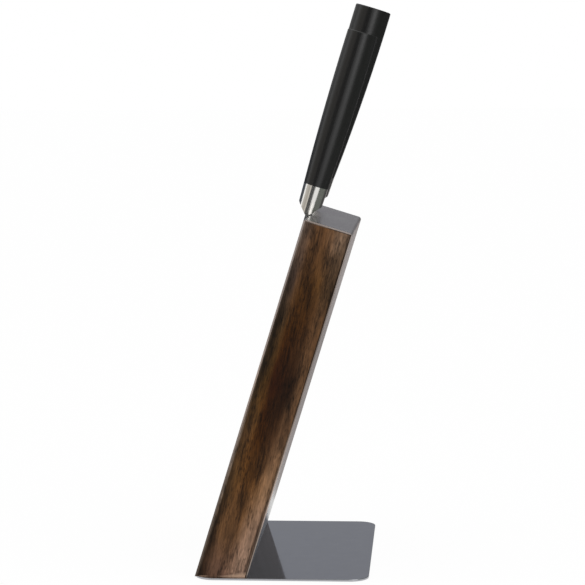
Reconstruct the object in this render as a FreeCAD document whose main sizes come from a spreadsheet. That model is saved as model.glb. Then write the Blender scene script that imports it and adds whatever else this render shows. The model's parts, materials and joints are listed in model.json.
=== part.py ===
import FreeCAD, Part
import math
import os
import re
import Sketcher

# Magnetic knife block: a walnut core wrapped in a bent stainless sheet leans back on a thin
# stainless base plate. Magnets behind the front sheet hold two knives flat against it.
#
# Frame: millimetres, +Z up. The origin is on the table under the middle of the base plate.
# The knife side faces -Y, +X runs across the block, and the block leans towards +Y.
# Slab pieces are drawn upright in the slab frame (front face on y = 0, bottom front edge on
# z = 0, x = 0 in the middle) and then leaned back by the tilt.
# Knife pieces are drawn in the knife frame: the blade's middle plane on y = 0, the handle's
# axis on Z, and z = 0 at the lower tip of the ferrule's taper.

SIZES = [
    # block
    ("block_width", 160.0, "width of the leaning slab"),
    ("slab_length", 230.0, "length of the front face, along the slope"),
    ("slab_thick", 30.7, "thickness of the slab over both steel faces"),
    ("tilt", 17.25, "lean of the slab from upright, in degrees"),
    ("sheet_thick", 1.2, "steel sheet of the jacket"),
    ("bend_radius", 2.0, "outer radius of the jacket's two bends"),
    ("core_gap", 0.2, "clearance between the core's top edges and the bends"),
    # base
    ("plate_depth", 106.8, "front to back size of the base plate"),
    ("plate_overhang", 4.5, "base plate beyond the slab on either side"),
    ("plate_thick", 1.2, "thickness of the base plate"),
    ("plate_corner", 12.0, "corner radius of the base plate"),
    ("plate_edge", 0.3, "broken upper edge of the base plate"),
    ("pad_thick", 0.4, "thickness of the non-slip pad"),
    ("pad_inset", 2.5, "pad's distance inside the plate's outline"),
    # fixing of the slab to the base plate
    ("screw_span_x", 116.0, "distance between the screws across the block"),
    ("screw_span_y", 11.0, "distance between the screws front to back"),
    ("screw_front", 11.5, "front screws behind the slab's bottom front edge"),
    ("screw_thread", 3.0, "screw thread diameter"),
    ("screw_head", 5.1, "screw head diameter"),
    ("screw_land", 0.1, "straight rim of the countersunk head"),
    ("screw_reach", 10.0, "screw length, head included"),
    ("screw_fit", 0.2, "clearance on the diameters of screw holes and heads"),
    ("socket_flats", 2.0, "hex socket across flats"),
    ("socket_deep", 0.9, "depth of the hex socket"),
    ("insert_outer", 5.0, "outer diameter of the threaded inserts"),
    ("insert_long", 10.0, "length of the threaded inserts"),
    ("insert_fit", 0.1, "clearance between screw thread and insert"),
    # magnets
    ("upper_row", 36.0, "upper magnet row below the slab's top edge"),
    ("lower_row", 112.0, "lower magnet row below the slab's top edge"),
    ("magnet_wide", 22.0, "magnet size across the block"),
    ("magnet_tall", 15.0, "magnet size along the slope"),
    ("magnet_thick", 6.0, "magnet thickness"),
    ("row_inset", 15.0, "magnet rows' ends inside the block's sides"),
    ("keeper_thick", 2.0, "steel keeper strip behind each magnet row"),
    ("groove_gap", 0.5, "clearance round keeper and magnets in their groove"),
    # both knives
    ("blade_gap", 0.2, "gap between the front face and a stored blade"),
    ("heel_drop", 2.0, "blade heel below the slab's top edge"),
    ("ferrule_low", 14.4, "ferrule thickness at its lower end"),
    ("ferrule_high", 15.7, "ferrule thickness where it meets the handle"),
    ("ferrule_cut", 43.0, "angle between the ferrule's taper and the handle axis, in degrees"),
    ("slot_fit", 0.15, "clearance round blade neck and tang"),
    ("tang_wide", 9.0, "width of the hidden tang"),
    ("spine_inset", 1.0, "spine inside the ferrule's oval"),
    ("edge_thick", 0.3, "blade thickness along the cutting edge"),
    ("tip_thick", 1.1, "blade thickness at the tip"),
    ("spine_flat", 3.0, "width of full thickness left along the spine"),
    ("butt_bevel", 0.5, "bevel round the handle's butt"),
    # chef's knife
    ("chef_x", -34.0, "handle axis across the block"),
    ("chef_raise", 3.3, "taper tip above the slab's top edge"),
    ("chef_blade_long", 198.0, "heel to tip"),
    ("chef_blade_high", 46.0, "spine to cutting edge at the heel"),
    ("chef_blade_thick", 2.4, "blade thickness at the spine"),
    ("chef_spine_run", 120.0, "straight stretch of the spine below the heel"),
    ("chef_tip_drop", 20.0, "tip below the spine line"),
    ("chef_edge_run", 62.0, "straight stretch of the cutting edge"),
    ("chef_ferrule_wide", 21.5, "ferrule width from spine to belly"),
    ("chef_ferrule_long", 12.6, "straight length of the ferrule above its taper"),
    ("chef_grip_long", 112.9, "length of the black handle"),
    ("chef_mid_thick", 21.8, "handle thickness half way"),
    ("chef_mid_wide", 26.5, "handle width half way"),
    ("chef_butt_thick", 23.4, "handle thickness at the butt"),
    ("chef_butt_wide", 29.0, "handle width at the butt"),
    ("chef_tang_long", 92.0, "tang inside the handle"),
    # utility knife
    ("utility_x", 28.0, "handle axis across the block"),
    ("utility_raise", -0.8, "taper tip above the slab's top edge"),
    ("utility_blade_long", 150.0, "heel to tip"),
    ("utility_blade_high", 34.0, "spine to cutting edge at the heel"),
    ("utility_blade_thick", 1.6, "blade thickness at the spine"),
    ("utility_spine_run", 92.0, "straight stretch of the spine below the heel"),
    ("utility_tip_drop", 13.0, "tip below the spine line"),
    ("utility_edge_run", 50.0, "straight stretch of the cutting edge"),
    ("utility_ferrule_wide", 20.0, "ferrule width from spine to belly"),
    ("utility_ferrule_long", 11.95, "straight length of the ferrule above its taper"),
    ("utility_grip_long", 99.3, "length of the black handle"),
    ("utility_mid_thick", 18.6, "handle thickness half way"),
    ("utility_mid_wide", 22.0, "handle width half way"),
    ("utility_butt_thick", 19.0, "handle thickness at the butt"),
    ("utility_butt_wide", 24.0, "handle width at the butt"),
    ("utility_tang_long", 80.0, "tang inside the handle"),
]
MAGNETS_PER_ROW = 5
UP = FreeCAD.Vector(0, 0, 1)

doc = FreeCAD.newDocument("knife_block")
sheet = doc.addObject("Spreadsheet::Sheet", "Sizes")
for row, (alias, value, meaning) in enumerate(SIZES, 1):
    sheet.set(f"A{row}", meaning)
    sheet.set(f"B{row}", str(value))
    sheet.setAlias(f"B{row}", alias)
doc.recompute()
ALIASES = {alias for alias, _, _ in SIZES}


# ---- expressions ---------------------------------------------------------------------------


def formula(text):
    """The text with each size's name turned into a reference to its cell."""
    return re.sub(r"[a-z_]+", lambda m: "Sizes." + m[0] if m[0] in ALIASES else m[0], text)


def value_of(text):
    """The number that a formula has now."""
    return float(sheet.evalExpression(formula(text)))


def bind(thing, prop, text):
    thing.setExpression(prop, formula(text))


# Formulas that several pieces share, written with the names of the sizes.
TABLE_TO_SLAB = "(pad_thick + plate_thick)"
SLAB_FRONT_Y = "(-plate_depth / 2)"
PLATE_WIDTH = "(block_width + 2 * plate_overhang)"
COS_TILT = "cos(tilt * 1 deg)"
SIN_TILT = "sin(tilt * 1 deg)"
TAN_TILT = "tan(tilt * 1 deg)"
GROOVE_DEEP = "(magnet_thick + keeper_thick)"
ROW_LONG = "(block_width - 2 * row_inset)"
MAGNET_STEP = f"(({ROW_LONG} - magnet_wide) / {MAGNETS_PER_ROW - 1})"


# ---- helpers -------------------------------------------------------------------------------


def new_body(name):
    body = doc.addObject("PartDesign::Body", name)
    body.Label = name
    return body


def new_sketch(body, name, plane, offset="0", lean=None):
    """A sketch on one of the body's own planes, moved along the plane's normal by offset."""
    sketch = body.newObject("Sketcher::SketchObject", name)
    origin_plane = next(f for f in body.Origin.OriginFeatures if f.Role == plane + "_Plane")
    sketch.AttachmentSupport = (origin_plane, [""])
    sketch.MapMode = "FlatFace"
    if lean:
        turned = FreeCAD.Rotation(FreeCAD.Vector(1, 0, 0), value_of(lean))
        sketch.AttachmentOffset = FreeCAD.Placement(FreeCAD.Vector(), turned)
        bind(sketch, "AttachmentOffset.Rotation.Angle", f"{lean} * 1 deg")
    bind(sketch, "AttachmentOffset.Base.z", offset)
    return sketch


def pin(sketch, geometry, end, point):
    """Holds one end of a line, arc or circle at a point given by two formulas."""
    for kind, text in zip(("DistanceX", "DistanceY"), point):
        index = sketch.addConstraint(
            Sketcher.Constraint(kind, -1, 1, geometry, end, value_of(text))
        )
        bind(sketch, f"Constraints[{index}]", text)


def to_vector(point):
    return FreeCAD.Vector(value_of(point[0]), value_of(point[1]), 0)


def add_outline(sketch, corners):
    """A closed outline of straight lines through corners, each given by two formulas."""
    spots = [to_vector(corner) for corner in corners]
    lines = [
        sketch.addGeometry(Part.LineSegment(spot, spots[(i + 1) % len(spots)]), False)
        for i, spot in enumerate(spots)
    ]
    for i, line in enumerate(lines):
        after = lines[(i + 1) % len(lines)]
        sketch.addConstraint(Sketcher.Constraint("Coincident", line, 2, after, 1))
        pin(sketch, line, 1, corners[i])


def add_oval(sketch, wide, thick):
    """An ellipse about the sketch's origin, wide along X and thick along Y."""
    oval = Part.Ellipse(FreeCAD.Vector(), value_of(wide) / 2, value_of(thick) / 2)
    curve = sketch.addGeometry(oval, False)
    sketch.exposeInternalGeometry(curve)
    sketch.addConstraint(Sketcher.Constraint("Coincident", curve, 3, -1, 1))
    sketch.addConstraint(Sketcher.Constraint("Horizontal", curve + 1))
    for axis_line, text in ((curve + 1, wide), (curve + 2, thick)):
        index = sketch.addConstraint(
            Sketcher.Constraint("Distance", axis_line, value_of(text))
        )
        bind(sketch, f"Constraints[{index}]", text)


def add_circles(sketch, centres, diameter):
    for centre in centres:
        circle = Part.Circle(to_vector(centre), UP, value_of(diameter) / 2)
        ring = sketch.addGeometry(circle, False)
        pin(sketch, ring, 3, centre)
        index = sketch.addConstraint(
            Sketcher.Constraint("Diameter", ring, value_of(diameter))
        )
        bind(sketch, f"Constraints[{index}]", diameter)


def box_corners(x_low, y_low, x_high, y_high):
    return [(x_low, y_low), (x_high, y_low), (x_high, y_high), (x_low, y_high)]


def pad(body, name, sketch, length, both_ways=False):
    feature = body.newObject("PartDesign::Pad", name)
    feature.Profile = sketch
    feature.SideType = "Symmetric" if both_ways else "One side"
    bind(feature, "Length", length)
    doc.recompute()
    return feature


def pocket(body, name, sketch, length=None, both_ways=False, reverse=False):
    """A cut of the given depth, or right through. Stops if it takes nothing away."""
    before = body.Shape.Volume
    feature = body.newObject("PartDesign::Pocket", name)
    feature.Profile = sketch
    feature.SideType = "Symmetric" if both_ways else "One side"
    feature.Reversed = reverse
    if length:
        bind(feature, "Length", length)
    else:
        feature.Type = "ThroughAll"
    doc.recompute()
    if body.Shape.Volume > before - 1e-3:
        raise RuntimeError(f"{name} cuts nothing from {body.Label}")
    return feature


def edges_where(feature, test):
    """Names of the feature's edges whose two end points pass the test."""
    return [
        f"Edge{number}"
        for number, edge in enumerate(feature.Shape.Edges, 1)
        if len(edge.Vertexes) == 2 and test(*(v.Point for v in edge.Vertexes))
    ]


def round_edges(body, name, base, test, radius):
    feature = body.newObject("PartDesign::Fillet", name)
    feature.Base = (base, edges_where(base, test))
    bind(feature, "Radius", radius)
    doc.recompute()
    return feature


def upright(a, b):
    """Whether an edge from a to b runs along Z."""
    return math.hypot(a.x - b.x, a.y - b.y) < 1e-6 < abs(a.z - b.z)


def place(thing, x, y, z):
    for axis, text in zip("xyz", (x, y, z)):
        bind(thing, f"Placement.Base.{axis}", text)


def place_on_slab(thing, x="0", y="0", z="0"):
    """Leans a piece back with the slab. The point is in the slab frame."""
    lean = FreeCAD.Rotation(FreeCAD.Vector(-1, 0, 0), value_of("tilt"))
    thing.Placement = FreeCAD.Placement(FreeCAD.Vector(), lean)
    bind(thing, "Placement.Rotation.Angle", "tilt * 1 deg")
    place(
        thing,
        x,
        f"{SLAB_FRONT_Y} + ({y}) * {COS_TILT} + ({z}) * {SIN_TILT}",
        f"{TABLE_TO_SLAB} - ({y}) * {SIN_TILT} + ({z}) * {COS_TILT}",
    )


def group(name, members):
    """Separate solids that share one node."""
    together = doc.addObject("Part::Compound", name)
    together.Label = name
    together.Links = members
    return together


def slab_box(name, x, y, z, wide, deep, tall):
    """A plain block in the slab frame, from its lowest corner."""
    block = doc.addObject("Part::Box", name)
    block.Label = name
    for prop, text in (("Length", wide), ("Width", deep), ("Height", tall)):
        bind(block, prop, text)
    place_on_slab(block, x, y, z)
    return block


# ---- base ----------------------------------------------------------------------------------


def screw_spots():
    """Screw centres behind the slab's bottom front edge: (x, y) formulas."""
    return [
        (f"{side} * screw_span_x / 2", f"screw_front + {row} * screw_span_y")
        for side in (-1, 1)
        for row in (0, 1)
    ]


def make_base_plate():
    body = new_body("base_plate")
    outline = new_sketch(body, "plate_outline", "XY")
    half_x, half_y = f"{PLATE_WIDTH} / 2", "plate_depth / 2"
    add_outline(outline, box_corners(f"-{half_x}", f"-{half_y}", half_x, half_y))
    plate = pad(body, "plate", outline, "plate_thick")
    corners = round_edges(body, "plate_corners", plate, upright, "plate_corner")
    top = value_of("plate_thick")
    round_edges(
        body,
        "plate_edge_break",
        corners,
        lambda a, b: abs(a.z - top) < 1e-6 and abs(b.z - top) < 1e-6,
        "plate_edge",
    )
    spots = new_sketch(body, "screw_spots", "XY")
    centres = [(x, f"{SLAB_FRONT_Y} + {y}") for x, y in screw_spots()]
    add_circles(spots, centres, "screw_thread + screw_fit")
    holes = body.newObject("PartDesign::Hole", "screw_holes")
    holes.Profile = spots
    holes.Reversed = True
    holes.DepthType = "ThroughAll"
    holes.HoleCutType = "Countersink"
    holes.HoleCutCustomValues = True
    holes.HoleCutCountersinkAngle = 90
    bind(holes, "Diameter", "screw_thread + screw_fit")
    bind(holes, "HoleCutDiameter", "screw_head + screw_fit + 2 * screw_land")
    doc.recompute()
    place(body, "0", "0", "pad_thick")


def make_base_pad():
    body = new_body("base_pad")
    outline = new_sketch(body, "pad_outline", "XY")
    half_x, half_y = f"({PLATE_WIDTH} / 2 - pad_inset)", "(plate_depth / 2 - pad_inset)"
    add_outline(outline, box_corners(f"-{half_x}", f"-{half_y}", half_x, half_y))
    sheet_pad = pad(body, "pad_sheet", outline, "pad_thick")
    round_edges(body, "pad_corners", sheet_pad, upright, "plate_corner - pad_inset")


def make_screw(name, x, y):
    """A countersunk hex-socket screw, head down."""
    body = new_body(name)
    profile = new_sketch(body, name + "_profile", "XZ")
    head, shank = "screw_head / 2", "screw_thread / 2"
    add_outline(
        profile,
        [
            ("0", "0"),
            (head, "0"),
            (head, "screw_land"),
            (shank, f"screw_land + {head} - {shank}"),
            (shank, "screw_reach"),
            ("0", "screw_reach"),
        ],
    )
    turned = body.newObject("PartDesign::Revolution", name + "_turned")
    turned.Profile = profile
    turned.ReferenceAxis = (profile, ["V_Axis"])
    turned.Angle = 360
    doc.recompute()
    socket = new_sketch(body, name + "_socket", "XY")
    across = "socket_flats / 2 / cos(30 deg)"
    corners = [(f"{across} * cos({a} deg)", f"{across} * sin({a} deg)") for a in range(0, 360, 60)]
    add_outline(socket, corners)
    pocket(body, name + "_hex", socket, "socket_deep", reverse=True)
    place(body, x, f"{SLAB_FRONT_Y} + {y}", "pad_thick")
    return body


def make_insert(name, x, y):
    """A threaded brass insert, flush with the core's bottom face."""
    body = new_body(name)
    ring = new_sketch(body, name + "_ring", "XY")
    add_circles(ring, [("0", "0")], "insert_outer")
    add_circles(ring, [("0", "0")], "screw_thread + insert_fit")
    pad(body, name + "_tube", ring, "insert_long")
    place(body, x, f"{SLAB_FRONT_Y} + {y}", TABLE_TO_SLAB)
    return body


# ---- slab ----------------------------------------------------------------------------------


def make_jacket():
    """One bent sheet over the front, top and back, open at the sides and the bottom."""
    body = new_body("steel_jacket")
    profile = new_sketch(body, "jacket_profile", "YZ")
    inner = "(slab_thick - sheet_thick)"
    add_outline(
        profile,
        [
            ("0", "0"),
            ("0", "slab_length"),
            ("slab_thick", "slab_length"),
            ("slab_thick", f"slab_thick * {TAN_TILT}"),
            (inner, f"{inner} * {TAN_TILT}"),
            (inner, "slab_length - sheet_thick"),
            ("sheet_thick", "slab_length - sheet_thick"),
            ("sheet_thick", f"sheet_thick * {TAN_TILT}"),
        ],
    )
    sheet_pad = pad(body, "jacket_sheet", profile, "block_width", both_ways=True)
    top, under = value_of("slab_length"), value_of("slab_length - sheet_thick")
    outer_bends = round_edges(
        body,
        "outer_bends",
        sheet_pad,
        lambda a, b: abs(a.z - top) < 1e-6 and abs(b.z - top) < 1e-6 and abs(a.y - b.y) < 1e-6,
        "bend_radius",
    )
    round_edges(
        body,
        "inner_bends",
        outer_bends,
        lambda a, b: abs(a.z - under) < 1e-6 and abs(b.z - under) < 1e-6 and abs(a.y - b.y) < 1e-6,
        "bend_radius - sheet_thick",
    )
    place_on_slab(body)


def make_core():
    """The walnut board inside the jacket, with magnet grooves and insert holes."""
    body = new_body("walnut_core")
    profile = new_sketch(body, "core_profile", "YZ")
    front, back = "sheet_thick", "(slab_thick - sheet_thick)"
    add_outline(
        profile,
        [
            (front, f"{front} * {TAN_TILT}"),
            (front, "slab_length - sheet_thick"),
            (back, "slab_length - sheet_thick"),
            (back, f"{back} * {TAN_TILT}"),
        ],
    )
    board = pad(body, "core_board", profile, "block_width", both_ways=True)
    top = value_of("slab_length - sheet_thick")
    round_edges(
        body,
        "core_top_edges",
        board,
        lambda a, b: abs(a.z - top) < 1e-6 and abs(b.z - top) < 1e-6 and abs(a.y - b.y) < 1e-6,
        "bend_radius - sheet_thick + core_gap",
    )
    grooves = new_sketch(body, "magnet_grooves", "XZ", offset="-sheet_thick")
    half_x = f"({ROW_LONG} / 2 + groove_gap)"
    for row in ("upper_row", "lower_row"):
        low = f"slab_length - {row} - magnet_tall / 2 - groove_gap"
        high = f"slab_length - {row} + magnet_tall / 2 + groove_gap"
        add_outline(grooves, box_corners(f"-{half_x}", low, half_x, high))
    pocket(body, "groove_cut", grooves, GROOVE_DEEP)
    spots = new_sketch(body, "insert_spots", "XY", lean="tilt")
    add_circles(spots, screw_spots(), "insert_outer")
    pocket(body, "insert_holes", spots, "insert_long", reverse=True)
    place_on_slab(body)


def make_magnet_row(prefix, row):
    """A steel keeper strip at the bottom of the groove and the magnets in front of it."""
    low = f"slab_length - {row} - magnet_tall / 2"
    slab_box(
        prefix + "_keeper",
        f"-{ROW_LONG} / 2",
        "sheet_thick + magnet_thick",
        low,
        ROW_LONG,
        "keeper_thick",
        "magnet_tall",
    )
    for number in range(MAGNETS_PER_ROW):
        slab_box(
            f"{prefix}_magnet_{number + 1}",
            f"-{ROW_LONG} / 2 + {number} * {MAGNET_STEP}",
            "sheet_thick",
            low,
            "magnet_wide",
            "magnet_thick",
            "magnet_tall",
        )


# ---- knives --------------------------------------------------------------------------------


def taper_rise(knife):
    """How far the ferrule's taper rises from its tip to the ferrule's full thickness."""
    return f"((ferrule_low - {knife}_blade_thick) / 2 / tan(ferrule_cut * 1 deg))"


def ferrule_top(knife):
    return f"({taper_rise(knife)} + {knife}_ferrule_long)"


def place_knife(body, knife):
    place_on_slab(
        body,
        f"{knife}_x",
        f"-(blade_gap + {knife}_blade_thick / 2)",
        f"slab_length + {knife}_raise",
    )


def add_arc(sketch, start, end, heading):
    """An arc from start to end that leaves start along heading. Returns it with the numbers
    that its sketch gives to those two ends."""
    across = FreeCAD.Vector(-heading.y, heading.x, 0)
    chord = end - start
    reach = chord.dot(chord) / (2 * chord.dot(across))
    centre = start + across * reach
    first = math.atan2(start.y - centre.y, start.x - centre.x)
    last = math.atan2(end.y - centre.y, end.x - centre.x)
    circle = Part.Circle(centre, UP, abs(reach))
    if reach > 0:
        return sketch.addGeometry(Part.ArcOfCircle(circle, first, last), False), 1, 2
    return sketch.addGeometry(Part.ArcOfCircle(circle, last, first), False), 2, 1


def add_blade_outline(sketch, knife):
    """Tang, neck, straight spine, curved point and belly, seen square on to the blade."""
    spine = f"({knife}_ferrule_wide / 2 - spine_inset)"
    edge = f"({spine} - {knife}_blade_high)"
    neck = f"-({knife}_ferrule_wide / 2 - spine_inset)"
    heel = f"-({knife}_raise + heel_drop)"
    shoulder = ferrule_top(knife)
    tang_top = f"{shoulder} + {knife}_tang_long"
    tip = (f"{spine} - {knife}_tip_drop", f"{heel} - {knife}_blade_long")
    spine_end = (spine, f"{heel} - {knife}_spine_run")
    belly_start = (edge, f"{heel} - {knife}_edge_run")
    straight = [
        belly_start,
        (edge, heel),
        (neck, heel),
        (neck, shoulder),
        ("-tang_wide / 2", shoulder),
        ("-tang_wide / 2", tang_top),
        ("tang_wide / 2", tang_top),
        ("tang_wide / 2", shoulder),
        (spine, shoulder),
        spine_end,
    ]
    spots = [to_vector(corner) for corner in straight]
    lines = []
    for start, end in zip(spots, spots[1:]):
        lines.append(sketch.addGeometry(Part.LineSegment(start, end), False))
    for line, after in zip(lines, lines[1:]):
        sketch.addConstraint(Sketcher.Constraint("Coincident", line, 2, after, 1))
    for line, corner in zip(lines, straight):
        pin(sketch, line, 1, corner)
    pin(sketch, lines[-1], 2, spine_end)
    down = FreeCAD.Vector(0, -1, 0)
    point = to_vector(tip)
    back, back_start, back_end = add_arc(sketch, spots[-1], point, down)
    belly, belly_top, belly_end = add_arc(sketch, spots[0], point, down)
    sketch.addConstraint(Sketcher.Constraint("Tangent", lines[-1], 2, back, back_start))
    sketch.addConstraint(Sketcher.Constraint("Tangent", lines[0], 1, belly, belly_top))
    sketch.addConstraint(Sketcher.Constraint("Coincident", back, back_end, belly, belly_end))
    pin(sketch, back, back_end, tip)


def make_blade(knife):
    """Blade and hidden tang in one piece, ground from the spine to the edge and to the tip."""
    body = new_body(knife + "_blade")
    outline = new_sketch(body, knife + "_blade_outline", "XZ")
    add_blade_outline(outline, knife)
    pad(body, knife + "_blank", outline, f"{knife}_blade_thick", both_ways=True)
    spine = f"({knife}_ferrule_wide / 2 - spine_inset)"
    edge = f"({spine} - {knife}_blade_high)"
    heel = f"-({knife}_raise + heel_drop)"
    half = f"{knife}_blade_thick / 2"
    grind = new_sketch(body, knife + "_edge_grind", "XY", offset=heel)
    for side in ("", "-"):
        add_outline(
            grind,
            [
                (f"{spine} - spine_flat", f"{side}({half})"),
                (edge, f"{side}edge_thick / 2"),
                (f"{edge} - 1", f"{side}edge_thick / 2"),
                (f"{edge} - 1", f"{side}({half} + 1)"),
                (f"{spine} - spine_flat", f"{side}({half} + 1)"),
            ],
        )
    pocket(body, knife + "_edge_grind_cut", grind)
    taper = new_sketch(body, knife + "_tip_taper", "YZ")
    low = f"({heel} - {knife}_blade_long - 1)"
    for side in ("", "-"):
        add_outline(
            taper,
            [
                (f"{side}({half})", heel),
                (f"{side}({half} + 1)", heel),
                (f"{side}({half} + 1)", low),
                (f"{side}tip_thick / 2", low),
            ],
        )
    pocket(body, knife + "_tip_taper_cut", taper, both_ways=True)
    place_knife(body, knife)


def make_ferrule(knife):
    """A steel ferrule of oval section whose lower end tapers to the blade from both sides."""
    body = new_body(knife + "_ferrule")
    top = ferrule_top(knife)
    low = new_sketch(body, knife + "_ferrule_low", "XY")
    wide_low = f"{knife}_ferrule_wide - (ferrule_high - ferrule_low)"
    add_oval(low, wide_low, "ferrule_low")
    high = new_sketch(body, knife + "_ferrule_high", "XY", offset=top)
    add_oval(high, f"{knife}_ferrule_wide", "ferrule_high")
    loft = body.newObject("PartDesign::AdditiveLoft", knife + "_ferrule_loft")
    loft.Profile = low
    loft.Sections = [high]
    doc.recompute()
    cuts = new_sketch(body, knife + "_taper_cuts", "YZ")
    half = f"{knife}_blade_thick / 2"
    for side in ("", "-"):
        add_outline(
            cuts,
            [
                (f"{side}({half})", "0"),
                (f"{side}({half})", "-1"),
                (f"{side}ferrule_high", "-1"),
                (f"{side}ferrule_high", f"(ferrule_high - {half}) / tan(ferrule_cut * 1 deg)"),
            ],
        )
    pocket(body, knife + "_taper_cut", cuts, both_ways=True)
    slot = new_sketch(body, knife + "_neck_slot", "XY", offset=top)
    spine = f"({knife}_ferrule_wide / 2 - spine_inset + slot_fit)"
    slot_half = f"({half} + slot_fit)"
    add_outline(slot, box_corners(f"-{spine}", f"-{slot_half}", spine, slot_half))
    pocket(body, knife + "_neck_slot_cut", slot)
    place_knife(body, knife)


def make_handle(knife):
    """A black handle that widens from the ferrule to a flat butt, slotted for the tang."""
    body = new_body(knife + "_handle")
    low = ferrule_top(knife)
    sections = [
        (low, f"{knife}_ferrule_wide", "ferrule_high"),
        (f"{low} + {knife}_grip_long / 2", f"{knife}_mid_wide", f"{knife}_mid_thick"),
        (f"{low} + {knife}_grip_long - butt_bevel", f"{knife}_butt_wide", f"{knife}_butt_thick"),
        (
            f"{low} + {knife}_grip_long",
            f"{knife}_butt_wide - 2 * butt_bevel",
            f"{knife}_butt_thick - 2 * butt_bevel",
        ),
    ]
    ovals = []
    for number, (height, wide, thick) in enumerate(sections, 1):
        oval = new_sketch(body, f"{knife}_handle_oval_{number}", "XY", offset=height)
        add_oval(oval, wide, thick)
        ovals.append(oval)
    for name, profile, others in (
        ("_grip_loft", ovals[0], ovals[1:3]),
        ("_butt_loft", ovals[2], ovals[3:]),
    ):
        loft = body.newObject("PartDesign::AdditiveLoft", knife + name)
        loft.Profile = profile
        loft.Sections = others
        doc.recompute()
    slot = new_sketch(body, knife + "_tang_slot", "XY", offset=low)
    half_wide = "(tang_wide / 2 + slot_fit)"
    half_thick = f"({knife}_blade_thick / 2 + slot_fit)"
    corners = box_corners(f"-{half_wide}", f"-{half_thick}", half_wide, half_thick)
    add_outline(slot, corners)
    pocket(body, knife + "_tang_slot_cut", slot, f"{knife}_tang_long + slot_fit", reverse=True)
    place_knife(body, knife)


# ---- build and export ----------------------------------------------------------------------

make_base_pad()
make_base_plate()
numbered_spots = list(enumerate(screw_spots(), 1))
group("base_screws", [make_screw(f"screw_{n}", x, y) for n, (x, y) in numbered_spots])
group("threaded_inserts", [make_insert(f"insert_{n}", x, y) for n, (x, y) in numbered_spots])
make_jacket()
make_core()
make_magnet_row("upper", "upper_row")
make_magnet_row("lower", "lower_row")
for knife_name in ("chef", "utility"):
    make_blade(knife_name)
    make_ferrule(knife_name)
    make_handle(knife_name)

doc.recompute()
for thing in doc.Objects:
    if {"Invalid", "Error"} & set(thing.State):
        raise RuntimeError(f"{thing.Label} failed: {thing.State}")
grouped = [thing for bunch in doc.findObjects("Part::Compound") for thing in bunch.Links]
pieces = [
    thing
    for thing in doc.Objects
    if thing.TypeId in ("PartDesign::Body", "Part::Box", "Part::Compound") and thing not in grouped
]
for piece in pieces:
    if piece.Shape.isNull() or not piece.Shape.isValid():
        raise RuntimeError(f"{piece.Label} has no valid shape")
os.makedirs("parts", exist_ok=True)
for piece in pieces:
    piece.Shape.exportStep(f"parts/{piece.Label}.step")
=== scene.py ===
"""Looks of a leaning knife block: a walnut core in bent steel sheet, on a steel plate, with two knives."""

import json
import math

import bmesh
import bpy
from mathutils import Matrix, Vector


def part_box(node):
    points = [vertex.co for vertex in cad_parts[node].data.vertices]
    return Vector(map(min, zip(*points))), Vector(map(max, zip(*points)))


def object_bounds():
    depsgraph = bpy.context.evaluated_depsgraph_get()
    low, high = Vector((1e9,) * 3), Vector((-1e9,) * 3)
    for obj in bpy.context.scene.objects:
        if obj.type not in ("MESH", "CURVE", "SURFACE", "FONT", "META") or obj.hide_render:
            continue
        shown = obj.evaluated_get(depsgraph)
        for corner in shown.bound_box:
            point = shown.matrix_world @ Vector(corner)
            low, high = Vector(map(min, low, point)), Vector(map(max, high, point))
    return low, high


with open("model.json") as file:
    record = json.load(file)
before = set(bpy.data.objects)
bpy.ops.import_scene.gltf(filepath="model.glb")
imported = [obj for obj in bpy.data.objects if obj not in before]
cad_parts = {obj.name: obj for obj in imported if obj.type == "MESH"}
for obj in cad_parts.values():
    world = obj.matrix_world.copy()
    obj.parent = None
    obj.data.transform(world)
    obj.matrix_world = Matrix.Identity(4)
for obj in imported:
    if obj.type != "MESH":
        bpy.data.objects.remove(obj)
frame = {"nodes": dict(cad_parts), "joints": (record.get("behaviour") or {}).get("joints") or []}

CAD_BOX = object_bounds()
NODES = frame["nodes"]
MM = 0.001


def linear(code):
    """The linear colour of an sRGB hex value such as "7A7C80", as red, green, blue and alpha."""
    shares = [int(code[i : i + 2], 16) / 255 for i in (0, 2, 4)]
    return (*[s / 12.92 if s <= 0.04045 else ((s + 0.055) / 1.055) ** 2.4 for s in shares], 1.0)


def extent(name, direction):
    """How far a node reaches along a direction, in metres."""
    steps = [direction.dot(corner.co) for corner in NODES[name].data.vertices]
    return max(steps) - min(steps)


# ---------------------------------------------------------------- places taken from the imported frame

BLOCK_LOW, BLOCK_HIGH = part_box("steel_jacket")
PLATE_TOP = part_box("base_plate")[1].z
LIFT_OFF = frame["joints"][0]["axis"]  # a knife lifts off square to the front face
LEAN = math.atan2(LIFT_OFF[2], -LIFT_OFF[1])  # how far the block leans back
THROUGH = Vector((0, math.cos(LEAN), -math.sin(LEAN)))  # square to the front face, into the block
UP_THE_BLOCK = Vector((0, math.sin(LEAN), math.cos(LEAN)))
FOOT = Vector((BLOCK_HIGH.x, BLOCK_LOW.y, PLATE_TOP))  # the block's front bottom corner, to the right
SLAB_WIDE = extent("steel_jacket", Vector((1, 0, 0)))
SLAB_THICK = extent("steel_jacket", THROUGH)
SLAB_LONG = extent("steel_jacket", UP_THE_BLOCK)
SLAB = (SLAB_WIDE, SLAB_THICK, SLAB_LONG)
SHEET = (SLAB_THICK - extent("walnut_core", THROUGH)) / 2  # the thickness of the sheet round the core
MIDDLE_HEIGHT = (CAD_BOX[0].z + CAD_BOX[1].z) / 2


# ---------------------------------------------------------------- camera

CAMERA_PLACE = (1.29881, 0.09041, 0.29861)
CAMERA_HEADING = 93.8833  # degrees from +Y towards -X
CAMERA_DIP = 5.692  # degrees below the horizon
CAMERA_ROLL = -0.288  # degrees
LENS_LENGTH = 125.18  # millimetres, on a sensor 36 mm wide


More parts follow.
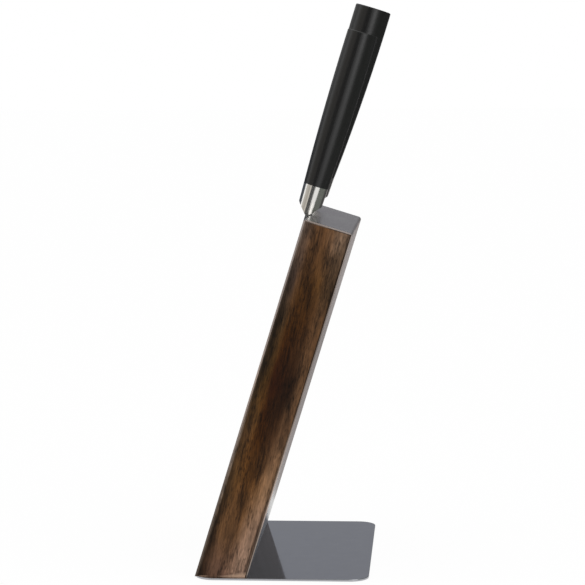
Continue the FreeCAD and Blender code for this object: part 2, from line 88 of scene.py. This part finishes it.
def aim_camera():
    """Stands the camera beside the block, at its narrow walnut side."""
    lens = bpy.data.cameras.new("camera")
    lens.lens = LENS_LENGTH
    lens.sensor_width = 36.0
    lens.clip_start = 0.01
    lens.clip_end = 200.0
    camera = bpy.data.objects.new("camera", lens)
    heading = Matrix.Rotation(math.radians(CAMERA_HEADING), 4, "Z")
    pitch = Matrix.Rotation(math.radians(90 - CAMERA_DIP), 4, "X")
    roll = Matrix.Rotation(math.radians(CAMERA_ROLL), 4, "Z")
    camera.matrix_world = Matrix.Translation(CAMERA_PLACE) @ heading @ pitch @ roll
    bpy.context.scene.collection.objects.link(camera)
    bpy.context.scene.camera = camera


aim_camera()


# ---------------------------------------------------------------- shader building

# Sockets of a Mix node share their names, so they go by number: its two inputs and its output.
COLOUR_A, COLOUR_B, MIXED_COLOUR = 6, 7, 2
NUMBER_A, NUMBER_B, MIXED_NUMBER = 2, 3, 0

NOISE_SPAN = {"From Min": 0.3, "From Max": 0.7}  # nearly all values of a noise lie in this range
SOFT_NOISE = {"Scale": 1.0, "Detail": 2.0}
FINE_NOISE = {"Scale": 1.0, "Detail": 3.0}


def add(tree, kind, links=None, out=None, stops=None, values=None, **settings):
    """Adds a node with its settings, values, ramp stops and incoming links. Gives its output named out."""
    made = tree.nodes.new(kind)
    for key, value in settings.items():
        setattr(made, key, value)
    for key, value in (values or {}).items():
        made.inputs[key].default_value = value
    for key, source in (links or {}).items():
        tree.links.new(source, made.inputs[key])
    if stops:
        ramp = made.color_ramp
        while len(ramp.elements) < len(stops):
            ramp.elements.new(0.5)
        for element, (place, colour) in zip(ramp.elements, stops):
            element.position = place
            element.color = linear(colour) if isinstance(colour, str) else (colour, colour, colour, 1.0)
    return made if out is None else made.outputs[out]


def blank_material(name):
    """A node material with nothing in it yet, and its node tree."""
    made = bpy.data.materials.new(name)
    made.use_nodes = True
    made.node_tree.nodes.clear()
    return made, made.node_tree


def new_material(name):
    """A node material with its output and a Principled shader on it."""
    made, tree = blank_material(name)
    shader = add(tree, "ShaderNodeBsdfPrincipled")
    add(tree, "ShaderNodeOutputMaterial", {"Surface": shader.outputs["BSDF"]})
    return made, tree, shader


def dress(tree, shader, tone, gloss, height, depth, strength=1.0):
    """Puts a finish's colour, roughness and relief on its shader. The relief's depth is in metres."""
    pressed = {"Strength": strength, "Distance": depth}
    relief = add(tree, "ShaderNodeBump", {"Height": height}, "Normal", values=pressed)
    for socket, source in (("Base Color", tone), ("Roughness", gloss), ("Normal", relief)):
        tree.links.new(source, shader.inputs[socket])


def block_coordinates(tree, size, turn=0.0):
    """Places across, through and up the leaning block from its foot, in units of size, given in metres."""
    place = add(tree, "ShaderNodeTexCoord", out="Object")
    lean = LEAN + turn
    upright = {"Location": Matrix.Rotation(lean, 3, "X") @ (-FOOT), "Rotation": (lean, 0, 0)}
    place = add(tree, "ShaderNodeMapping", {"Vector": place}, "Vector", values=upright)
    shares = [1 / side for side in size]
    return add(tree, "ShaderNodeVectorMath", {0: place}, "Vector", values={1: shares}, operation="MULTIPLY")


# ---------------------------------------------------------------- plain metals and plastics


def metal(name, light, dark, roughness, swing, marks, depth):
    """A metal in two close tones, whose roughness varies by a swing up and down.

    Its marks have a size across, through and up the block, and a depth.
    """
    made, tree, shader = new_material(name)
    shader.inputs["Metallic"].default_value = 1.0
    place = block_coordinates(tree, marks)
    pattern = add(tree, "ShaderNodeTexNoise", {"Vector": place}, "Fac", values=FINE_NOISE)
    tone = add(tree, "ShaderNodeValToRGB", {"Fac": pattern}, "Color", stops=[(0.25, dark), (0.75, light)])
    reach = NOISE_SPAN | {"To Min": roughness - swing, "To Max": roughness + swing}
    gloss = add(tree, "ShaderNodeMapRange", {"Value": pattern}, "Result", values=reach)
    dress(tree, shader, tone, gloss, pattern, depth)
    return made


def plastic(name, light, dark, roughness, level, grit, depth):
    """Moulded plastic or rubber, with a fine texture of a grit and a depth. Level is its specular level."""
    made, tree, shader = new_material(name)
    shader.inputs["Specular IOR Level"].default_value = level
    place = block_coordinates(tree, (grit, grit, grit))
    pattern = add(tree, "ShaderNodeTexNoise", {"Vector": place}, "Fac", values={"Scale": 1.0})
    tone = add(tree, "ShaderNodeValToRGB", {"Fac": pattern}, "Color", stops=[(0.3, dark), (0.7, light)])
    reach = NOISE_SPAN | {"To Min": roughness - 0.04, "To Max": roughness + 0.04}
    gloss = add(tree, "ShaderNodeMapRange", {"Value": pattern}, "Result", values=reach)
    dress(tree, shader, tone, gloss, pattern, depth)
    return made


# ---------------------------------------------------------------- bent steel sheet

# The sheet's linished cut edges up the block, from its foot, 0, to its top, 1: in front and at the back.
# Their lighter and darker stretches are partly the edge's own tone and partly painted reflection.
FRONT_EDGE = [
    (0.0, "5A5048"),
    (0.08, "6A5E55"),
    (0.25, "74685F"),
    (0.4, "958880"),
    (0.56, "BAA89C"),
    (0.7, "A89B94"),
]
BACK_EDGE = [
    (0.12, "9E9086"),
    (0.17, "A4968C"),
    (0.20, "C4B0A6"),
    (0.26, "CCB8AC"),
    (0.35, "C2B1A7"),
    (0.43, "A89A92"),
    (0.50, "A4968E"),
    (0.70, "857A74"),
    (0.78, "92867F"),
    (0.87, "A69A93"),
    (0.94, "B0A49E"),
]
# Painted shade along the inner half of each cut edge, in the joint with the wood, in the same form.
FRONT_JOINT_SHADE = [
    (0.02, "54483E"),
    (0.20, "54483E"),
    (0.28, "6B5D51"),
    (0.42, "6B5D51"),
    (0.50, "3A2E26"),
    (0.90, "3A2E26"),
    (0.97, "6A5E55"),
]
BACK_JOINT_SHADE = [
    (0.10, "4A3E35"),
    (0.30, "6B5D51"),
    (0.42, "6B5D51"),
    (0.50, "3A2E26"),
    (0.78, "2C221B"),
    (0.90, "221913"),
    (0.97, "33281F"),
]
JOINT_MIDDLE = 0.507  # a little behind the block's middle, 0.5, so that the joint is wider at the back
JOINT_FADE = (0.2 * MM, 0.6 * MM)  # how far from the wood the dark joint starts to fade and is gone
EDGE_SKIN = (0.06 * MM, 0.04 * MM)  # how far inside the block's sides an edge's finish starts and is whole


def joint_fade(wood, size):
    """Where the dark joint fades, as shares of a size of the block, beyond the wood's own share."""
    return {"From Min": wood + JOINT_FADE[0] / size, "From Max": wood + JOINT_FADE[1] / size}


def cut_edges(tree):
    """The colour of the sheet's cut edges: linished up the block, partly painted reflection, and painted
    shade by the wood.
    """
    axes = add(tree, "ShaderNodeSeparateXYZ", {"Vector": block_coordinates(tree, SLAB)})
    across, along = axes.outputs["Y"], axes.outputs["Z"]
    behind = add(tree, "ShaderNodeMath", {0: across}, "Value", values={1: 0.5}, operation="GREATER_THAN")
    tones = []
    for front_stops, back_stops in ((FRONT_EDGE, BACK_EDGE), (FRONT_JOINT_SHADE, BACK_JOINT_SHADE)):
        front = add(tree, "ShaderNodeValToRGB", {"Fac": along}, "Color", stops=front_stops)
        back = add(tree, "ShaderNodeValToRGB", {"Fac": along}, "Color", stops=back_stops)
        pair = {"Factor": behind, COLOUR_A: front, COLOUR_B: back}
        tones.append(add(tree, "ShaderNodeMix", pair, MIXED_COLOUR, data_type="RGBA"))
    edge, joint = tones
    # Linishing lines are about 0.1 mm apart. They are drawn 0.3 mm apart, so that they show.
    linishing = block_coordinates(tree, (0.3 * MM, 0.3 * MM, 18 * MM))
    lines = add(tree, "ShaderNodeTexNoise", {"Vector": linishing}, "Fac", values=SOFT_NOISE)
    reach = NOISE_SPAN | {"To Min": 0.8, "To Max": 1.2}
    lines = add(tree, "ShaderNodeMapRange", {"Value": lines}, "Result", values=reach)
    edge = add(tree, "ShaderNodeVectorMath", {0: edge, "Scale": lines}, "Vector", operation="SCALE")
    # Each edge is painted dark along its inner half: painted shade in the joint with the wood.
    away = add(tree, "ShaderNodeMath", {0: across}, "Value", values={1: JOINT_MIDDLE}, operation="SUBTRACT")
    away = add(tree, "ShaderNodeMath", {0: away}, "Value", operation="ABSOLUTE")
    sides = joint_fade(0.5 - SHEET / SLAB_THICK, SLAB_THICK)
    clear = add(tree, "ShaderNodeMapRange", {"Value": away}, "Result", values=sides)
    top = joint_fade(1 - SHEET / SLAB_LONG, SLAB_LONG)
    above = add(tree, "ShaderNodeMapRange", {"Value": along}, "Result", values=top)
    clear = add(tree, "ShaderNodeMath", {0: clear, 1: above}, "Value", operation="MAXIMUM")
    pair = {"Factor": clear, COLOUR_A: joint, COLOUR_B: edge}
    return add(tree, "ShaderNodeMix", pair, MIXED_COLOUR, data_type="RGBA")


def jacket_sheet():
    """Bent stainless sheet, brushed up the block: fine lines over slow clouds, and duller cut edges."""
    made, tree, shader = new_material("brushed_stainless_sheet")
    shader.inputs["Metallic"].default_value = 1.0
    # Brushed lines are about 0.1 mm apart. They are drawn 0.5 mm apart, so that they show.
    brushing = block_coordinates(tree, (0.5 * MM, 45 * MM, 45 * MM))
    lines = add(tree, "ShaderNodeTexNoise", {"Vector": brushing}, "Fac", values=FINE_NOISE)
    patches = block_coordinates(tree, (30 * MM, 30 * MM, 60 * MM))
    clouds = add(tree, "ShaderNodeTexNoise", {"Vector": patches}, "Fac", values=SOFT_NOISE)
    both = add(tree, "ShaderNodeMath", {0: lines, 1: clouds}, "Value", operation="ADD")
    span = {"From Min": 0.75, "From Max": 1.25}
    both = add(tree, "ShaderNodeMapRange", {"Value": both}, "Result", values=span)
    face = add(tree, "ShaderNodeValToRGB", {"Fac": both}, "Color", stops=[(0.0, "A5A3A0"), (1.0, "B6B4B0")])
    # The cut edges are the faces that lie on the block's two sides.
    place = add(tree, "ShaderNodeTexCoord", out="Object")
    aside = add(tree, "ShaderNodeSeparateXYZ", {"Vector": place}, "X")
    aside = add(tree, "ShaderNodeMath", {0: aside}, "Value", operation="ABSOLUTE")
    skin = {"From Min": BLOCK_HIGH.x - EDGE_SKIN[0], "From Max": BLOCK_HIGH.x - EDGE_SKIN[1]}
    cut = add(tree, "ShaderNodeMapRange", {"Value": aside}, "Result", values=skin)
    pair = {"Factor": cut, COLOUR_A: face, COLOUR_B: cut_edges(tree)}
    tone = add(tree, "ShaderNodeMix", pair, MIXED_COLOUR, data_type="RGBA")
    reach = NOISE_SPAN | {"To Min": 0.20, "To Max": 0.27}
    smooth = add(tree, "ShaderNodeMapRange", {"Value": clouds}, "Result", values=reach)
    pair = {"Factor": cut, NUMBER_A: smooth}
    gloss = add(tree, "ShaderNodeMix", pair, MIXED_NUMBER, values={NUMBER_B: 0.5})
    dress(tree, shader, tone, gloss, lines, 0.008 * MM)
    return made


# ---------------------------------------------------------------- walnut core

GRAIN_TURN = math.radians(-6)  # the wood's fibres run a little more upright than the block leans

# Most of the colours in BOARD_TONES and of the values in VEINS, below, are the output of a least-squares
# fitting program, partly rounded.
# The rest were corrected or added.

# The walnut's ground colours up the board, from its foot, 0, to its top, 1: at its front, middle and back.
# Towards the foot the middle and back are lighter: partly the wood's own colour, partly painted light from
# below.
BOARD_TONES = {
    "front": [
        (0.03, "2F1901"),
        (0.14, "2B1907"),
        (0.28, "533A1E"),
        (0.42, "654626"),
        (0.56, "624418"),
        (0.70, "47351E"),
        (0.85, "42332B"),
        (0.96, "4D3E34"),
    ],
    "middle": [
        (0.03, "6A4E3E"),
        (0.14, "64462C"),
        (0.28, "5C3A17"),
        (0.42, "442401"),
        (0.56, "270D01"),
        (0.70, "3A1E01"),
        (0.85, "4E3111"),
        (0.96, "5A3D24"),
    ],
    "back": [
        (0.02, "715B4E"),
        (0.065, "8D715E"),
        (0.14, "7C6250"),
        (0.28, "765940"),
        (0.42, "5A402B"),
        (0.56, "644830"),
        (0.70, "523822"),
        (0.85, "3A2918"),
        (0.93, "433223"),
        (0.98, "6B5543"),
    ],
}
# Where the middle's and the back's colours come in, across the board from its front, 0, to its back, 1.
TONE_BLENDS = {"middle": (0.05, 0.4), "back": (0.48, 0.9)}

# How the growth rings drift: the size of their waves across, through and up the board, the waves' turn, and
# how far they move the figure, in shares of the board. They wander over 40 mm and ripple over 18 mm.
DRIFTS = [
    ((60 * MM, 14 * MM, 40 * MM), 0.0, (0.0, 0.22, 0.10)),
    ((20 * MM, 2.4 * MM, 18 * MM), GRAIN_TURN, (0.0, 0.12, 0.05)),
]

# Dark veins: the first of heartwood, the second a dark band along the board's front. Each has a colour. Its
# middle and half width across the board, and its strength, are stops up the board.
VEINS = [
    {
        "colour": "1C0C02",
        "middle": [
            (0.0, 0.36), (0.13, 0.45), (0.26, 0.44), (0.35, 0.60), (0.5, 0.64),
            (0.6, 0.67), (0.72, 0.59), (0.86, 0.40), (1.0, 0.45),
        ],
        "half": [
            (0.0, 0.12), (0.13, 0.29), (0.26, 0.16), (0.35, 0.40), (0.5, 0.38),
            (0.6, 0.39), (0.72, 0.38), (0.86, 0.24), (1.0, 0.22),
        ],
        "strength": [
            (0.0, 0.42), (0.13, 0.40), (0.26, 0.59), (0.36, 0.55), (0.5, 0.97),
            (0.6, 0.91), (0.72, 0.38), (0.86, 0.68), (1.0, 0.26),
        ],
    },
    {
        "colour": "180F07",
        "middle": [(0.0, 0.11), (0.2, 0.11), (0.4, 0.07), (1.0, 0.07)],
        "half": [(0.0, 0.20), (0.2, 0.16), (0.4, 0.243), (0.6, 0.3), (0.8, 0.189), (1.0, 0.157)],
        "strength": [(0.0, 0.80), (0.2, 0.60), (0.4, 0.69), (0.6, 0.97), (0.8, 0.71), (1.0, 0.23)],
    },
]
# Lines along the board's two edges, in the same form: pale with wear in front, and painted shade at the
# back.
EDGE_LINES = [
    {
        "colour": "7C6C5E",
        "middle": [(0.0, 0.045), (1.0, 0.045)],
        "half": [(0.0, 0.035), (1.0, 0.035)],
        "strength": [
            (0.0, 0.1), (0.13, 0.2), (0.19, 0.3), (0.24, 0.7),
            (0.40, 0.7), (0.50, 0.1), (0.88, 0.1), (0.96, 0.35),
        ],
    },
    {
        # Painted shade where the wood meets the sheet at the back.
        "colour": "1A110B",
        "middle": [(0.0, 0.938), (0.2, 0.938), (0.3, 0.95), (0.5, 0.958)],
        "half": [(0.0, 0.06), (0.2, 0.05), (0.4, 0.03), (1.0, 0.025)],
        "strength": [
            (0.0, 0.85), (0.2, 0.8), (0.28, 0.5), (0.4, 0.2), (0.55, 0.0),
            (0.7, 0.2), (0.85, 0.7), (0.91, 0.6), (0.95, 0.0),
        ],
    },
]

# Streaks, fibres and pores: their size across, through and up the board, the detail and distortion of
# their noise, the noise values of dark and light wood, and how much lighter than its ground light wood is.
# Pores are about 0.2 mm wide. They are drawn 0.7 mm wide, so that they show.
GRAINS = [
    ((20 * MM, 2.8 * MM, 24 * MM), 3.0, 0.8, (0.28, 0.72), 1.35),
    ((8 * MM, 1.0 * MM, 7 * MM), 3.0, 0.5, (0.32, 0.68), 1.36),
    ((2 * MM, 0.7 * MM, 3.5 * MM), 1.0, 0.0, (0.68, 0.51), 1.06),
]

# How strong the painted highlight along the board's foot is, across it from its front, 0, to its back, 1.
FOOT_HIGHLIGHT = [
    (0.06, 0.05), (0.12, 0.4), (0.2, 0.35), (0.28, 0.05),
    (0.42, 0.05), (0.58, 0.5), (0.78, 0.8), (0.93, 0.85),
]
FOOT_HIGHLIGHT_FADE = 0.3 * MM  # the height over the plate from which the painted highlight fades
FOOT_HIGHLIGHT_TOPS = ((0.55, 0.9 * MM), (0.93, 3.4 * MM))  # two places across the board, and how high the painted highlight ends there


def ground_tone(tree, across, along):
    """The ground colour at a place on the board, between its front, middle and back tones."""
    tones = {
        part: add(tree, "ShaderNodeValToRGB", {"Fac": along}, "Color", stops=stops)
        for part, stops in BOARD_TONES.items()
    }
    tone = tones["front"]
    for part, (start, end) in TONE_BLENDS.items():
        span = {"From Min": start, "From Max": end}
        smooth = {"values": span, "interpolation_type": "SMOOTHSTEP"}
        share = add(tree, "ShaderNodeMapRange", {"Value": across}, "Result", **smooth)
        pair = {"Factor": share, COLOUR_A: tone, COLOUR_B: tones[part]}
        tone = add(tree, "ShaderNodeMix", pair, MIXED_COLOUR, data_type="RGBA")
    return tone


def draw_vein(tree, tone, across, along, vein):
    """Draws a vein on a tone: it is strongest at its middle and fades to nothing at its half width."""
    middle, half, strength = [
        add(tree, "ShaderNodeValToRGB", {"Fac": along}, "Color", stops=vein[course])
        for course in ("middle", "half", "strength")
    ]
    away = add(tree, "ShaderNodeMath", {0: across, 1: middle}, "Value", operation="SUBTRACT")
    away = add(tree, "ShaderNodeMath", {0: away}, "Value", operation="ABSOLUTE")
    fade = {"Value": away, "From Max": half, "To Min": strength}
    smooth = {"values": {"To Max": 0.0}, "interpolation_type": "SMOOTHSTEP"}
    share = add(tree, "ShaderNodeMapRange", fade, "Result", **smooth)
    colour = {COLOUR_B: linear(vein["colour"])}
    pair = {"Factor": share, COLOUR_A: tone}
    return add(tree, "ShaderNodeMix", pair, MIXED_COLOUR, values=colour, data_type="RGBA")


def grain_shade(tree):
    """How much the streaks, fibres and pores darken or lighten the wood, as a factor on its colour."""
    patches = block_coordinates(tree, (30 * MM, 7 * MM, 22 * MM), GRAIN_TURN)
    plain = {"Scale": 1.0, "Detail": 1.0}
    patches = add(tree, "ShaderNodeTexNoise", {"Vector": patches}, "Fac", values=plain)
    # How dark the dark wood is changes from patch to patch.
    span = {"From Min": 0.36, "From Max": 0.64, "To Min": 0.42, "To Max": 0.82}
    dark = add(tree, "ShaderNodeMapRange", {"Value": patches}, "Result", values=span)
    shade = None
    for size, detail, distortion, (dark_value, light_value), light in GRAINS:
        place = block_coordinates(tree, size, GRAIN_TURN)
        noise = {"Scale": 1.0, "Detail": detail, "Distortion": distortion}
        mark = add(tree, "ShaderNodeTexNoise", {"Vector": place}, "Fac", values=noise)
        span = {"From Min": dark_value, "From Max": light_value, "To Max": light}
        mark = add(tree, "ShaderNodeMapRange", {"Value": mark, "To Min": dark}, "Result", values=span)
        if shade is not None:
            mark = add(tree, "ShaderNodeMath", {0: shade, 1: mark}, "Value", operation="MULTIPLY")
        shade = mark
    return shade


def paint_foot_highlight(tree, tone, across):
    """Paints a highlight along the board's bottom edge where it meets the plate, higher up at the back than
    in front.
    """
    place = add(tree, "ShaderNodeTexCoord", out="Object")
    height = add(tree, "ShaderNodeSeparateXYZ", {"Vector": place}, "Z")
    (start, low), (end, high) = FOOT_HIGHLIGHT_TOPS
    tops = {"From Min": start, "From Max": end, "To Min": PLATE_TOP + low, "To Max": PLATE_TOP + high}
    top = add(tree, "ShaderNodeMapRange", {"Value": across}, "Result", values=tops)
    highlight_strength = add(tree, "ShaderNodeValToRGB", {"Fac": across}, "Color", stops=FOOT_HIGHLIGHT)
    fade = {"Value": height, "From Max": top, "To Min": highlight_strength}
    span = {"From Min": PLATE_TOP + FOOT_HIGHLIGHT_FADE, "To Max": 0.0}
    painted_highlight = add(tree, "ShaderNodeMapRange", fade, "Result", values=span)
    # The colour of the painted highlight.
    colour = {COLOUR_B: linear("C6A58C")}
    pair = {"Factor": painted_highlight, COLOUR_A: tone}
    return add(tree, "ShaderNodeMix", pair, MIXED_COLOUR, values=colour, data_type="RGBA")


def walnut():
    """Oiled walnut, planed and sanded: heartwood veins and short pores give it a deep, streaky brown."""
    made, tree, shader = new_material("oiled_walnut")
    shader.inputs["Specular IOR Level"].default_value = 0.1
    straight = block_coordinates(tree, SLAB)
    board = straight
    for size, turn, reach in DRIFTS:
        place = block_coordinates(tree, size, turn)
        drift = add(tree, "ShaderNodeTexNoise", {"Vector": place}, "Color", values=SOFT_NOISE)
        # A noise's middle value is 0.5. It is taken off, so that the figure drifts both ways.
        middle = {1: (0.5, 0.5, 0.5)}
        drift = add(tree, "ShaderNodeVectorMath", {0: drift}, "Vector", values=middle, operation="SUBTRACT")
        moved = {"values": {1: reach}, "operation": "MULTIPLY_ADD"}
        board = add(tree, "ShaderNodeVectorMath", {0: drift, 2: board}, "Vector", **moved)
    axes = add(tree, "ShaderNodeSeparateXYZ", {"Vector": board})
    across, along = axes.outputs["Y"], axes.outputs["Z"]
    straight = add(tree, "ShaderNodeSeparateXYZ", {"Vector": straight}, "Y")
    tone = ground_tone(tree, across, along)
    for vein in VEINS:
        tone = draw_vein(tree, tone, across, along, vein)
    # The back edge line is painted shade.
    for line in EDGE_LINES:
        tone = draw_vein(tree, tone, straight, along, line)
    shade = grain_shade(tree)
    tone = add(tree, "ShaderNodeVectorMath", {0: tone, "Scale": shade}, "Vector", operation="SCALE")
    # A painted highlight along the board's foot.
    tone = paint_foot_highlight(tree, tone, straight)
    # Dark wood is a little rougher than light wood.
    span = {"From Min": 0.4, "From Max": 1.6, "To Min": 0.56, "To Max": 0.44}
    gloss = add(tree, "ShaderNodeMapRange", {"Value": shade}, "Result", values=span)
    dress(tree, shader, tone, gloss, shade, 0.04 * MM, 0.5)
    return made


# ---------------------------------------------------------------- finishes

# The finish of each material slot. Marks of grinding, rolling and turning, and the grit of moulded
# surfaces, are mostly finer than 0.1 mm. They are drawn 0.3 to 1 mm wide, so that they show. Polished and
# nickel plated surfaces have faint clouds of 2 to 9 mm instead.
FINISHES = {
    "walnut": walnut(),
    "jacket_steel": jacket_sheet(),
    # Polished stainless plate: a calm grey mirror, faintly clouded.
    "base_steel": metal("polished_stainless_plate", "ABACB0", "A5A6AA", 0.07, 0.015, (9 * MM,) * 3, 0.0),
    # Mirror polished stainless: bright and dark bands with soft borders.
    "ferrule_steel": metal("mirror_polished_stainless", "D2D0CC", "CBCAC6", 0.15, 0.02, (3 * MM,) * 3, 0.0),
    # Ground blade steel: a satin sheen, with fine lines across the blade.
    "blade_steel": metal(
        "satin_ground_blade_steel", "BEBFC1", "AEB0B3", 0.22, 0.05, (20 * MM, 2 * MM, 0.3 * MM), 0.002 * MM
    ),
    # Zinc plated screws: a pale, dull grey with a speckled sheen.
    "fastener_steel": metal(
        "zinc_plated_screw_steel", "B0B2B0", "999B9A", 0.32, 0.05, (1 * MM,) * 3, 0.002 * MM
    ),
    # Turned brass: warm yellow, with faint rings.
    "insert_brass": metal(
        "turned_brass", "C9A65A", "B08E48", 0.28, 0.05, (1 * MM, 1 * MM, 0.3 * MM), 0.002 * MM
    ),
    # Cold rolled mild steel: a plain mid grey, streaked along the strip.
    "keeper_steel": metal(
        "cold_rolled_mild_steel", "8E8F90", "7B7C7E", 0.38, 0.05, (8 * MM, 1 * MM, 1 * MM), 0.002 * MM
    ),
    # Nickel plated magnets: a warm, bright, slightly hazy silver.
    "magnet_nickel": metal(
        "nickel_plated_magnet", "BDBAB2", "AFACA4", 0.2, 0.03, (2 * MM,) * 3, 0.001 * MM
    ),
    # Satin black plastic: deep black with a broad soft highlight.
    "handle_black": plastic(
        "satin_black_moulded_plastic", "121212", "0D0D0D", 0.34, 0.42, 0.5 * MM, 0.015 * MM
    ),
    # Charcoal rubber: dead matt and faintly grainy.
    "pad_rubber": plastic("charcoal_rubber", "2B2B2C", "202021", 0.85, 0.3, 0.8 * MM, 0.03 * MM),
}


def finish_nodes():
    """Gives each piece the finish of its material slot."""
    for piece in NODES.values():
        for holder in piece.material_slots:
            holder.material = FINISHES[holder.material.name]


# ---------------------------------------------------------------- studio

# Studio walls and cards round the block, seen in reflections only: they give the polished ferrules their
# dark and pale bands. Each stands between two angles, in degrees from +X towards -Y, at a distance and from
# a foot to a top, in metres, and has a colour and a strength.
WALLS = {
    "wall_by_camera": (-6, 37, 1.2, 0.0, 1.0, "FFFFFF", 0.11),
    "wall_left_near": (37, 50, 1.9, 0.0, 2.0, "FFF9F0", 0.84),
    "wall_left_front": (50, 70, 1.9, 0.0, 2.0, "FFF9F0", 0.58),
    "wall_left_side": (70, 93, 1.9, 0.0, 2.0, "FFF9F0", 0.70),
    "wall_left": (93, 109, 1.9, 0.0, 2.0, "FFFFFF", 0.60),
    "wall_left_back": (109, 166, 1.9, 0.0, 2.0, "FFFFFF", 0.40),
    "card_left": (109, 139, 0.42, 0.24, 0.37, "C8D2E4", 0.15),
    "card_left_back": (139, 168, 0.42, 0.19, 0.33, "C8D2E4", 0.15),
    "wall_far_low": (166, 194, 6.0, 0.0, 1.05, "FDF8FF", 0.26),
    "wall_far_high": (166, 194, 6.0, 1.05, 3.4, "F2F5FF", 0.35),
    "wall_right_back": (-168, -145, 1.6, 0.0, 1.6, "FFFFFF", 0.07),
    "card_right_back": (-160, -120, 0.42, 0.0, 0.7, "FFFFFF", 0.09),
    "card_right": (-120, -50, 0.42, 0.0, 0.7, "EDF4EA", 0.22),
    "card_front_low": (-46, -6, 0.62, 0.0, 0.14, "FFFFFF", 1.2),
}
# Cards on the floor behind the block, seen in reflections only: where each starts and ends along -X, and
# its strength.
FLOOR_CARDS = {
    "card_floor_back": (0.152, 1.1, 0.435),
    "card_floor_far": (1.1, 6.0, 0.6),
}
FLOOR_CARD_COLOUR = "F6ECEA"
FLOOR_CARD_WIDTH = 2.0
FLOOR_CARD_HEIGHT = 0.5 * MM  # just clear of the floor
FLOOR_REACH = 30.0  # from the middle of the floor to each side
FLOOR_GLOW = 0.95  # how much of the floor is its own even white, to the eye and in metal
WALL_STEP = 5  # degrees to a facet of a curved wall


def set_on_stage(form, name, surface):
    """Makes a studio object of a bmesh. It isn't part of the knife block."""
    mesh = bpy.data.meshes.new(name)
    form.to_mesh(mesh)
    form.free()
    mesh.materials.append(surface)
    made = bpy.data.objects.new(name, mesh)
    bpy.context.scene.collection.objects.link(made)
    return made


def glow(name, colour, strength):
    """A surface that gives off an even light of its own, as a lit or unlit studio wall does."""
    made, tree = blank_material(name)
    light = {"Color": linear(colour), "Strength": strength}
    light = add(tree, "ShaderNodeEmission", out="Emission", values=light)
    add(tree, "ShaderNodeOutputMaterial", {"Surface": light})
    made.cycles.emission_sampling = "NONE"
    return made


def reflections_only(made):
    """Hides a studio card from all but shiny surfaces."""
    made.visible_camera = False
    made.visible_diffuse = False
    made.visible_shadow = False


def wall(name, start_angle, end_angle, distance, foot, top, colour, strength):
    """A curved studio wall round the block."""
    angle = math.radians(start_angle)
    start = Vector((distance * math.cos(angle), -distance * math.sin(angle), foot))
    form = bmesh.new()
    lower = form.verts.new(start)
    upper = form.verts.new(start + Vector((0, 0, top - foot)))
    edge = form.edges.new((lower, upper))
    bmesh.ops.spin(
        form,
        geom=[lower, upper, edge],
        cent=(0, 0, 0),
        axis=(0, 0, 1),
        angle=math.radians(start_angle - end_angle),
        steps=max(2, (end_angle - start_angle) // WALL_STEP),
    )
    reflections_only(set_on_stage(form, name, glow(name, colour, strength)))


def floor_card(name, near, far, strength):
    """A card on the floor behind the block."""
    form = bmesh.new()
    bmesh.ops.create_grid(form, x_segments=1, y_segments=1, size=0.5)
    bmesh.ops.scale(form, vec=(far - near, FLOOR_CARD_WIDTH, 1), verts=form.verts)
    bmesh.ops.translate(form, vec=(-(near + far) / 2, 0, FLOOR_CARD_HEIGHT), verts=form.verts)
    reflections_only(set_on_stage(form, name, glow(name, FLOOR_CARD_COLOUR, strength)))


def softbox(name, angle, distance, height, wide, tall, power):
    """A rectangular soft light that faces the middle of the knife block. Its angle is as a wall's."""
    lamp = bpy.data.lights.new(name, "AREA")
    lamp.shape = "RECTANGLE"
    lamp.size = wide
    lamp.size_y = tall
    lamp.energy = power
    made = bpy.data.objects.new(name, lamp)
    angle = math.radians(angle)
    made.location = (distance * math.cos(angle), -distance * math.sin(angle), height)
    aim = Vector((0, 0, MIDDLE_HEIGHT)) - made.location
    made.rotation_euler = aim.to_track_quat("-Z", "Y").to_euler()
    made.visible_camera = False
    bpy.context.scene.collection.objects.link(made)


def lay_floor():
    """A plain white floor: it keeps the block's shadow, and metal sees it as bright as the eye does."""
    form = bmesh.new()
    bmesh.ops.create_grid(form, x_segments=1, y_segments=1, size=FLOOR_REACH)
    made, tree = blank_material("white_floor")
    matt = add(tree, "ShaderNodeBsdfDiffuse", out="BSDF", values={"Color": linear("F2F2F2")})
    light = {"Color": linear("FFFFFF"), "Strength": 1.0}
    light = add(tree, "ShaderNodeEmission", out="Emission", values=light)
    rays = add(tree, "ShaderNodeLightPath").outputs
    seen = rays["Is Camera Ray"]
    for kind in ("Is Glossy Ray", "Is Transmission Ray"):
        seen = add(tree, "ShaderNodeMath", {0: seen, 1: rays[kind]}, "Value", operation="MAXIMUM")
    share = add(tree, "ShaderNodeMath", {0: seen}, "Value", values={1: FLOOR_GLOW}, operation="MULTIPLY")
    mixed = add(tree, "ShaderNodeMixShader", {"Fac": share, 1: matt, 2: light}, "Shader")
    add(tree, "ShaderNodeOutputMaterial", {"Surface": mixed})
    set_on_stage(form, "floor", made)


def light_world():
    """A plain white studio all round."""
    world = bpy.data.worlds.new("studio")
    bpy.context.scene.world = world
    world.use_nodes = True
    tree = world.node_tree
    tree.nodes.clear()
    light = {"Color": linear("FFFFFF"), "Strength": 1.0}
    sky = add(tree, "ShaderNodeBackground", out="Background", values=light)
    add(tree, "ShaderNodeOutputWorld", {"Surface": sky})


finish_nodes()
lay_floor()
light_world()
for title, row in WALLS.items():
    wall(title, *row)
for title, row in FLOOR_CARDS.items():
    floor_card(title, *row)
softbox("softbox_left", angle=103, distance=1.3, height=0.5, wide=0.39, tall=1.0, power=1.0)
softbox("softbox_front_right", angle=-41, distance=0.62, height=0.36, wide=0.44, tall=0.36, power=0.96)

bpy.context.scene.view_settings.view_transform = "Standard"
